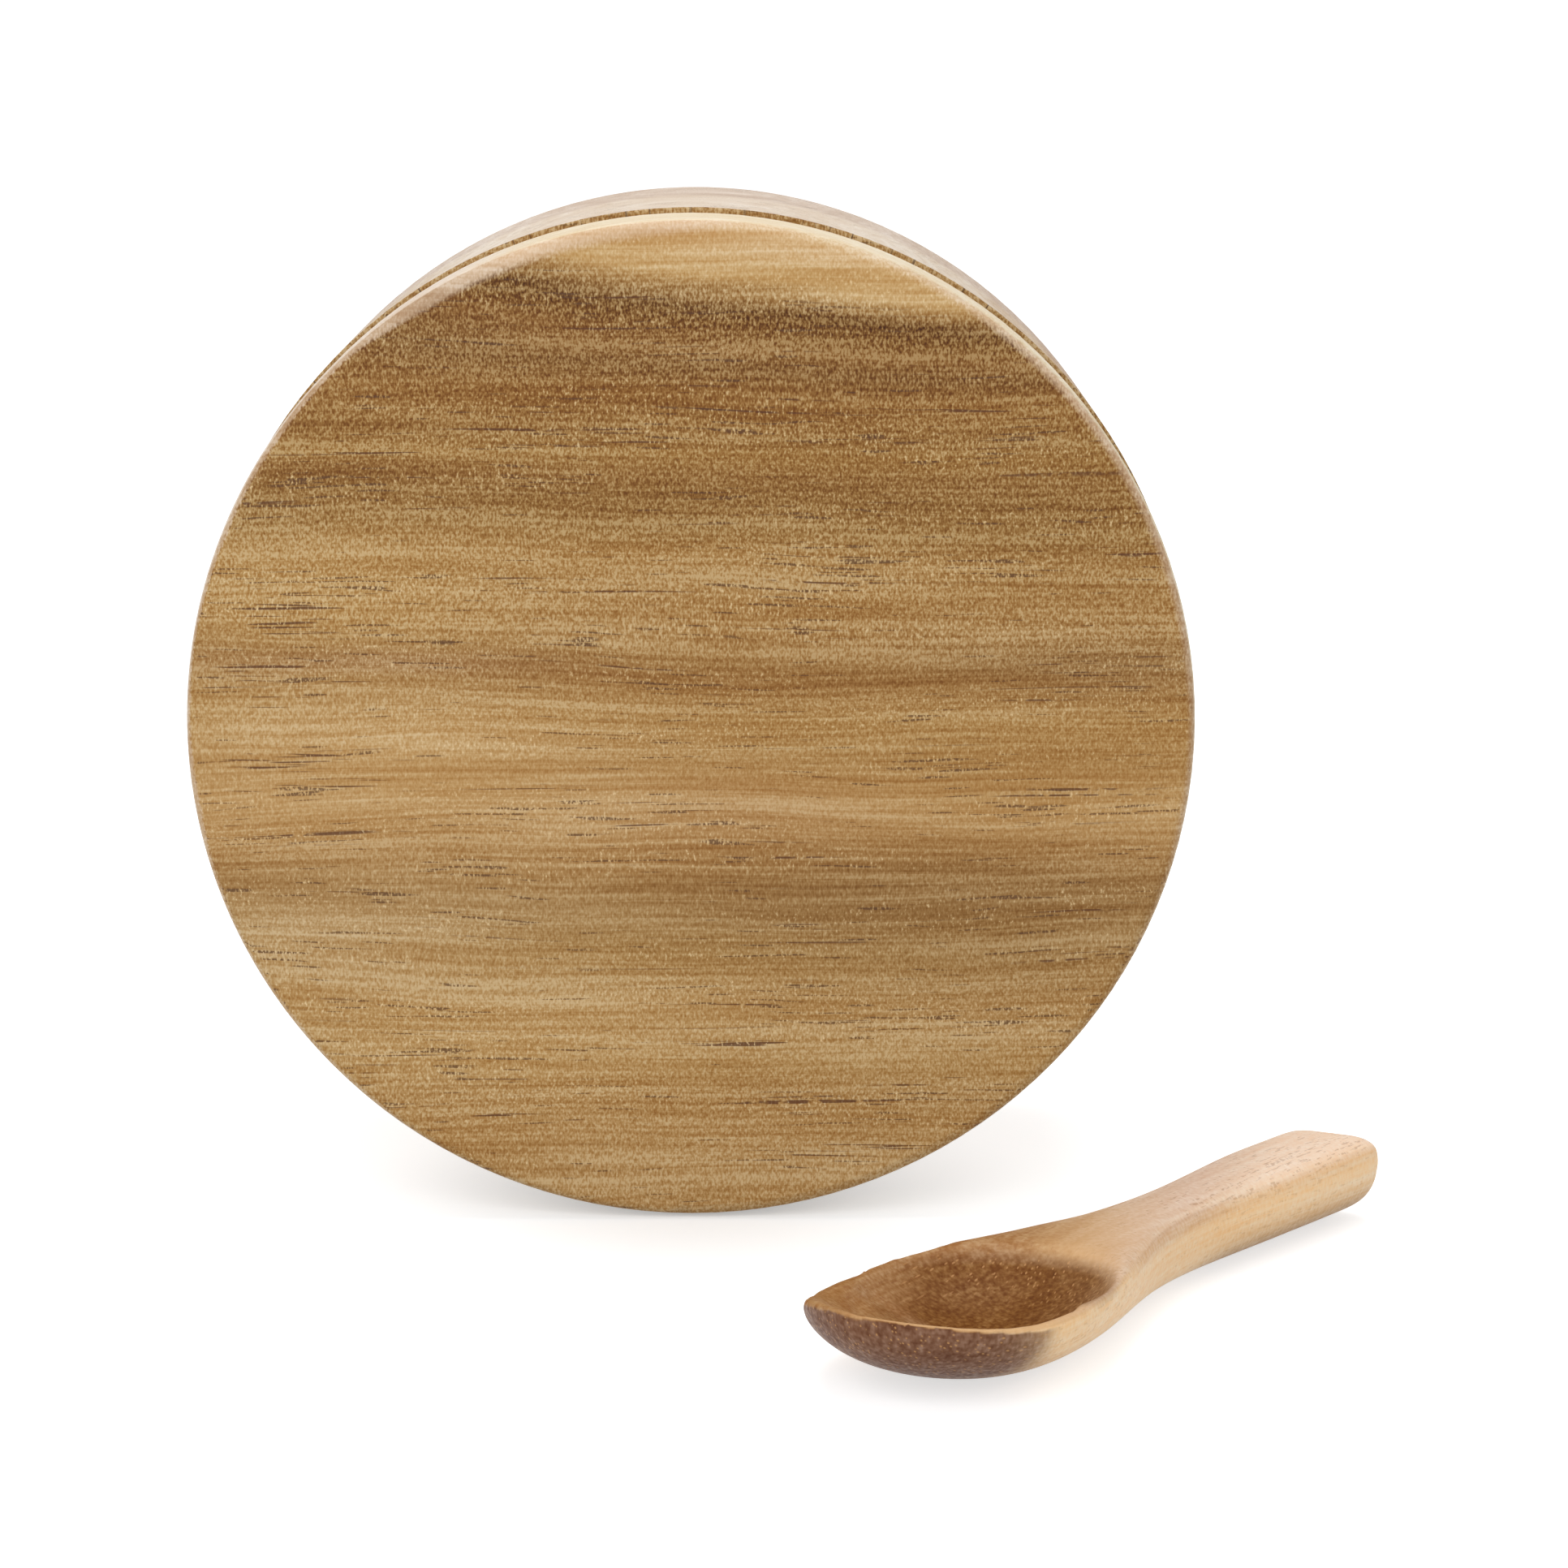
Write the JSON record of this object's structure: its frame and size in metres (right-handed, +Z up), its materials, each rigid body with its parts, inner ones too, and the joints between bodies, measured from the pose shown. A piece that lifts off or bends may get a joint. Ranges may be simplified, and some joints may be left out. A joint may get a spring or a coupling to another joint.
{
  "type": "wooden spice box with swivel lid and spoon",
  "caption": "Round turned wooden spice box standing on its rim, with a lid that swivels on a hidden pin, and a small carved wooden spoon beside it.",
  "frame": {"origin": "centre of the base's flat underside", "axes": "+Y is the box's turning axis, pointing out of the underside, so the lid faces -Y; +Z is up as the box stands on its rim; +X is to the right seen from the lid's side"},
  "size_m": [0.1194, 0.1203, 0.1006],
  "materials": {
    "base_wood": "oiled, satin",
    "lid_wood": "oiled, satin",
    "spoon_wood": "oiled, satin",
    "pin_steel": "ground",
    "bush_brass": "turned",
    "washer_nylon": "matt",
    "magnet_nickel": "nickel plated"
  },
  "bodies": {
    "box": {"base": "base_wood", "pivot_pin": "pin_steel", "snap_ring": "pin_steel", "pin_washer": "washer_nylon", "base_magnet": "magnet_nickel"},
    "lid": {"lid": "lid_wood", "lid_bush": "bush_brass", "lid_magnet": "magnet_nickel"},
    "spoon": {"spoon": "spoon_wood"}
  },
  "joints": [
    {"name": "lid_swing", "type": "hinge", "parent": "box", "child": "lid", "pos_m": [0, -0.0396, 0.0452], "axis": [0, 1, 0], "range_deg": [-180, 180]},
    {"name": "spoon_lift", "type": "slide", "parent": "box", "child": "spoon", "axis": [0, 0, 1], "range_m": [0, 0.12]}
  ]
}
